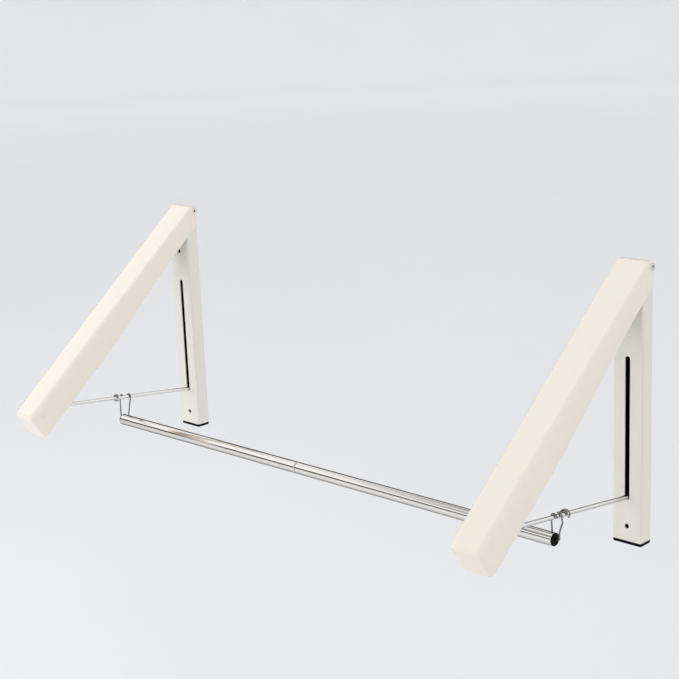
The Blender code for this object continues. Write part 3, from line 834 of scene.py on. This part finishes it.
def pole_end(side):
    """The end of the tube, measured along the axis from the pole's middle point."""
    middle, along = pole_axis()
    reach = (middle_of(side + "_pole_plug") - middle).dot(along)
    inset = SIDES[side] * (PLUG_LENGTH - PLUG_FLANGE) / 2
    return reach + inset - SIDES[side] * PIN_GAP


def make_hole_cutter(side):
    """The loop's hole, from above the tube down to the pole's axis."""
    middle, along = pole_axis()
    up = (Vector((0, 0, 1)) - along * along.z).normalized()
    foot = middle + along * (pole_end(side) - SIDES[side] * POLE_HOLE_INSET[side])
    bm = bmesh.new()
    add_cylinder(bm, foot + up * POLE_DIAMETER / 2, up, POLE_HOLE_DIAMETER, POLE_DIAMETER)
    return bm


def make_pole_tube(side, finish):
    middle, along = pole_axis()
    sign = SIDES[side]
    low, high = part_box(side + "_pole_tube")
    joint_x = high.x if side == "left" else low.x
    joint = (joint_x - middle.x) / along.x + sign * JOINT_GAP
    end = pole_end(side)
    radius = POLE_DIAMETER / 2
    bore = radius - POLE_WALL
    support = sign * radius / 4
    profile = [(joint, bore)] + rounded_end(joint, radius, POLE_RIM, -sign)[::-1]
    profile += [(joint + support, radius), (end - support, radius)]
    profile += rounded_end(end, radius, POLE_RIM, sign) + [(end, bore)]
    bm = bmesh.new()
    add_lathe(bm, profile, middle, along)
    piece = finish_piece(side + "_pole_half", bm, finish, "pole", side + "_pole_tube")
    cut_smooth(piece, make_hole_cutter(side))


def make_pole_sleeve(finish):
    middle, along = pole_axis()
    outside = POLE_DIAMETER / 2 - POLE_WALL - FIT_GAP
    bore = outside - POLE_WALL
    low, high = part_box("pole_sleeve")
    ends = [(x - middle.x) / along.x for x in (low.x, high.x)]
    profile = [(ends[0], bore), (ends[0], outside), (ends[1], outside), (ends[1], bore)]
    bm = bmesh.new()
    add_lathe(bm, profile, middle, along)
    finish_piece("pole_joint_sleeve", bm, finish, "pole", "pole_sleeve")


def make_pole_plug(side, finish):
    middle, along = pole_axis()
    sign = SIDES[side]
    end = pole_end(side) + sign * PIN_GAP
    flange = POLE_DIAMETER / 2 - PIN_GAP
    spigot = POLE_DIAMETER / 2 - POLE_WALL - FIT_GAP
    bore = PLUG_BORE / 2
    inner = end - sign * PLUG_LENGTH
    profile = [(inner, bore), (inner, spigot), (end, spigot), (end, flange)]
    outer = end + sign * PLUG_FLANGE
    profile += rounded_end(outer, flange, PLUG_RIM, sign) + [(outer, bore)]
    bm = bmesh.new()
    add_lathe(bm, profile, middle, along)
    piece = finish_piece(side + "_end_plug", bm, finish, "pole", side + "_pole_plug")
    if POLE_HOLE_INSET[side] < PLUG_LENGTH:
        cut_smooth(piece, make_hole_cutter(side))


def stay_point(side, y):
    """The point of the stay's axis at a distance from the wall."""
    pivot, tangent, head = stay_line(side)
    return tangent.lerp(head, (y - tangent.y) / (head.y - tangent.y))


def stay_hook(side, y, towards, reach=LOOP_HOOK_END):
    """Points of a hook over the stay, from its tip to where the loop's leg begins."""
    centre = stay_point(side, y)
    radius = STAY_DIAMETER / 2 + FIT_GAP + LOOP_WIRE / 2
    return [centre + Vector((across * towards, 0, up))
            for across, up in arc((0, 0), radius, reach, 0.0, HOOK_STEPS)]


def make_pole_loop(side, finish):
    """A bent wire: hooked over the stay, down into the hole, out of the plug, up again."""
    middle, along = pole_axis()
    sign = SIDES[side]
    end = pole_end(side)
    stay_x = joint_point(side + "_stay_swing").x
    y = (middle + along * ((stay_x - middle.x) / along.x)).y
    clear = Vector((0, 0, POLE_DIAMETER / 2 + LOOP_WIRE))
    inner_foot = middle + along * (end - sign * POLE_HOLE_INSET[side])
    outer_foot = middle + along * (end + sign * (PIN_GAP + PLUG_FLANGE + LOOP_REACH))
    inner_shift, outer_shift = LOOP_HOOK_SHIFT[side]
    inner_hook = stay_hook(side, y + inner_shift, -sign)
    outer_hook = stay_hook(side, y + outer_shift, sign, OUTER_HOOK_END)
    drop = LOOP_KNEE_DROP / (outer_hook[-1].z - outer_foot.z - clear.z)
    knee = outer_hook[-1].lerp(outer_foot + clear, drop)
    knee += Vector((sign * LOOP_KNEE[side], 0, 0))
    corners = [(inner_hook[-1], 0.0), (inner_foot + clear, LOOP_LEG_RADIUS),
               (inner_foot, LOOP_FOOT_RADIUS), (outer_foot, LOOP_FOOT_RADIUS),
               (outer_foot + clear, LOOP_LEG_RADIUS), (knee, LOOP_KNEE_RADIUS),
               (outer_hook[-1], 0.0)]
    path = inner_hook[:-1] + rounded_path(corners) + outer_hook[-2::-1]
    bm = bmesh.new()
    add_sweep(bm, path, LOOP_WIRE, LOOP_SIDES)
    finish_piece(side + "_wire_loop", bm, finish, "pole", side + "_pole_loop")


def make_keeper_ring(side, finish):
    """An open wire ring round the stay, turned a little, and the hook that closes it."""
    centre = stay_point(side, middle_of(side + "_keeper_ring").y)
    across = Vector((math.cos(RING_TURN), math.sin(RING_TURN), 0))
    start, end = RING_ARC[side]
    path = [centre + across * x + Vector((0, 0, z))
            for x, z in arc((0, 0), RING_RADIUS[side], start, end, EYE_STEPS)]
    bm = bmesh.new()
    add_sweep(bm, path, RING_WIRE, RING_SIDES)
    add_sweep(bm, stay_hook(side, centre.y, -1.0), RING_WIRE, RING_SIDES)
    finish_piece(side + "_keeper_spring", bm, finish, "pole", side + "_keeper_ring")


# Studio

def make_floor():
    """A pale floor well below the rack, whose far rim curves up like a studio cove."""
    shader = Shader("studio_floor", 0.8)
    shader.color(shader.noise(1.5), FLOOR_LIGHT, FLOOR_DARK)
    profile = [(COVE_START, FLOOR_HEIGHT)]
    for k in range(1, COVE_STEPS + 1):
        angle = math.pi / 2 * k / COVE_STEPS
        profile.append((COVE_START + COVE_RADIUS * math.sin(angle),
                        FLOOR_HEIGHT + COVE_RADIUS * (1 - math.cos(angle))))
    bm = bmesh.new()
    rings = [[bm.verts.new((radius * math.cos(t), radius * math.sin(t), height))
              for t in full_turn(FINE_ROUND)] for radius, height in profile]
    bm.faces.new(rings[0])
    skin_loops(bm, rings[::-1])
    mesh = bpy.data.meshes.new("floor")
    bm.to_mesh(mesh)
    bm.free()
    mesh.materials.append(shader.material)
    mesh.shade_smooth()
    floor = bpy.data.objects.new("floor", mesh)
    bpy.context.scene.collection.objects.link(floor)


def add_lamp(name, place, size, power, color, mirrored):
    light = bpy.data.lights.new(name, "AREA")
    light.shape = "RECTANGLE"
    light.size, light.size_y = size
    light.energy = power
    light.color = color
    lamp = bpy.data.objects.new(name, light)
    lamp.location = place
    heading = Vector(LAMP_TARGET) - Vector(place)
    lamp.rotation_euler = heading.to_track_quat("-Z", "Y").to_euler()
    lamp.visible_glossy = mirrored
    bpy.context.scene.collection.objects.link(lamp)


def add_level_ramp(nodes, links, height, levels):
    """Grey levels of the room by the height of the direction."""
    ramp = nodes.new("ShaderNodeValToRGB")
    elements = ramp.color_ramp.elements
    while len(elements) < len(levels):
        elements.new(0.5)
    for element, (position, level) in zip(elements, levels):
        element.position = position
        element.color = (level, level, level * ROOM_BLUE, 1.0)
    links.new(height, ramp.inputs["Fac"])
    return ramp.outputs["Color"]


def map_range(nodes, links, value, low=0.0, high=1.0, to_high=1.0):
    """Carry a value from low..high to 0..to_high, and hold it at both ends."""
    node = nodes.new("ShaderNodeMapRange")
    node.inputs["From Min"].default_value = low
    node.inputs["From Max"].default_value = high
    node.inputs["To Max"].default_value = to_high
    links.new(value, node.inputs["Value"])
    return node.outputs["Result"]


def mix_colors(nodes, links, factor, first, second):
    node = nodes.new("ShaderNodeMix")
    node.data_type = "RGBA"
    colors = [socket for socket in node.inputs if socket.type == "RGBA"]
    links.new(factor, node.inputs["Factor"])
    links.new(first, colors[0])
    links.new(second, colors[1])
    return [socket for socket in node.outputs if socket.type == "RGBA"][0]


def make_world():
    """A soft pale room. Towards -X its lower part is dark, and rises towards the wall."""
    world = bpy.data.worlds.new("studio")
    bpy.context.scene.world = world
    world.use_nodes = True
    nodes = world.node_tree.nodes
    links = world.node_tree.links
    place = nodes.new("ShaderNodeTexCoord")
    split = nodes.new("ShaderNodeSeparateXYZ")
    links.new(place.outputs["Generated"], split.inputs["Vector"])
    x, y, z = split.outputs
    height = map_range(nodes, links, z, low=-1.0)
    lowered = nodes.new("ShaderNodeMath")
    lowered.operation = "SUBTRACT"
    links.new(height, lowered.inputs[0])
    links.new(map_range(nodes, links, y, to_high=BAND_RISE), lowered.inputs[1])
    band_height = lowered.outputs["Value"]
    left = mix_colors(nodes, links, map_range(nodes, links, x, *DIM_EDGE),
                      add_level_ramp(nodes, links, band_height, ROOM_BANDED),
                      add_level_ramp(nodes, links, band_height, ROOM_DIM))
    room = mix_colors(nodes, links, map_range(nodes, links, x, *BAND_EDGE), left,
                      add_level_ramp(nodes, links, height, ROOM_OPEN))
    background = nodes["Background"]
    links.new(room, background.inputs["Color"])
    background.inputs["Strength"].default_value = ROOM_STRENGTH


def make_camera():
    """The camera is turned and tilted down, then rolled about its line of sight."""
    azimuth = CAMERA_AZIMUTH
    down = CAMERA_DOWN
    level_right = Vector((math.cos(azimuth), math.sin(azimuth), 0))
    ahead = Vector((-math.sin(azimuth) * math.cos(down), math.cos(azimuth) * math.cos(down),
                    -math.sin(down)))
    level_up = level_right.cross(ahead)
    right = level_right * math.cos(CAMERA_ROLL) + level_up * math.sin(CAMERA_ROLL)
    up = level_up * math.cos(CAMERA_ROLL) - level_right * math.sin(CAMERA_ROLL)
    data = bpy.data.cameras.new("camera")
    data.lens = CAMERA_LENS
    data.sensor_width = CAMERA_SENSOR
    data.clip_start = CAMERA_NEAR
    camera = bpy.data.objects.new("camera", data)
    turn = Matrix((right, up, -ahead)).transposed().to_4x4()
    camera.matrix_world = Matrix.Translation(CAMERA_PLACE) @ turn
    bpy.context.scene.collection.objects.link(camera)
    bpy.context.scene.camera = camera


def make_studio():
    bpy.context.scene.view_settings.view_transform = "Standard"
    make_floor()
    make_world()
    make_camera()
    for name, settings in LAMPS.items():
        add_lamp(name, *settings)


# Assembly

def coat_remaining(finish):
    """CAD nodes that stay visible take the finish of their own material slot."""
    slots = {"slide_guide": "black_plastic", "slide_head": "wire_steel",
             "pin_sleeve_left": "white_nylon", "pin_sleeve_right": "white_nylon"}
    for side in SIDES:
        for name, slot in slots.items():
            node = frame["nodes"][side + "_" + name]
            node.data.materials.clear()
            node.data.materials.append(finish[slot])


def main():
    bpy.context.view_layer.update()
    finish = make_materials()
    for side in SIDES:
        make_bracket(side, finish["bracket_paint"])
        # Painted shade: a black sheet closes each slot from behind
        make_slot_shade_sheet(side, finish["black_plastic"])
        make_bottom_cap(side, finish["black_plastic"])
        make_pin(side, "_fold_pin", side + "_hinge_pin", "wall_brackets",
                 HINGE_PIN_DIAMETER, finish["arm_paint"])
        make_arm_cover(side, finish["arm_paint"])
        make_top_rivet(side, finish["polished_steel"])
        make_pin(side, "_eye_pin", side + "_stay_pin", side + "_arm", STAY_PIN_DIAMETER,
                 finish["arm_paint"])
        make_stay_rod(side, finish["stay_steel"])
        make_pole_tube(side, finish["polished_steel"])
        make_pole_plug(side, finish["black_plastic"])
        make_pole_loop(side, finish["wire_steel"])
        make_keeper_ring(side, finish["wire_steel"])
    make_pole_sleeve(finish["wire_steel"])
    coat_remaining(finish)
    make_studio()


main()
